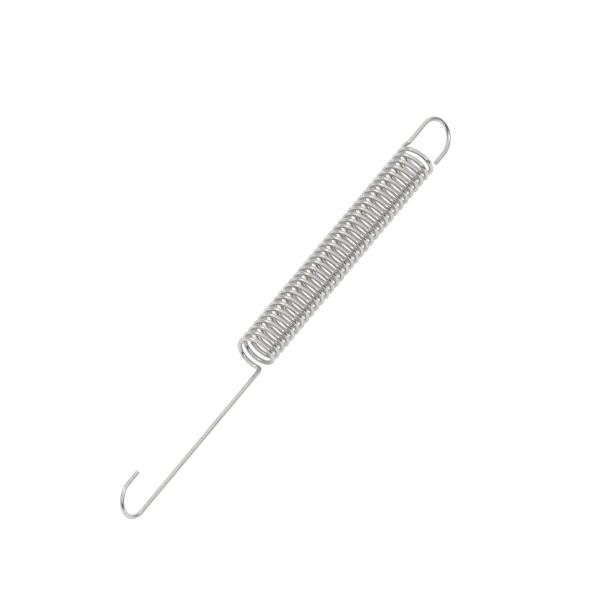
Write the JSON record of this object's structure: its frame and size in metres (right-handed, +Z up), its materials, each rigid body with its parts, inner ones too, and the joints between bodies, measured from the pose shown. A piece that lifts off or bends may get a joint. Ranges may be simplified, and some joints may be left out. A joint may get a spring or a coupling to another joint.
{
  "type": "extension spring",
  "caption": "Open-wound wire extension spring with a hook on a long straight leg at one end and a raised hook close to the coil at the other.",
  "frame": {"origin": "middle of the part's box in X and Y, on the surface that the spring lies on", "axes": "+X along the coil's axis from the long hook to the short hook, +Y across the coil, +Z up from the surface"},
  "size_m": [0.1276, 0.009, 0.0092],
  "materials": {
    "steel_wire": "polished"
  },
  "bodies": {
    "root": {"spring": "steel_wire"}
  },
  "joints": []
}
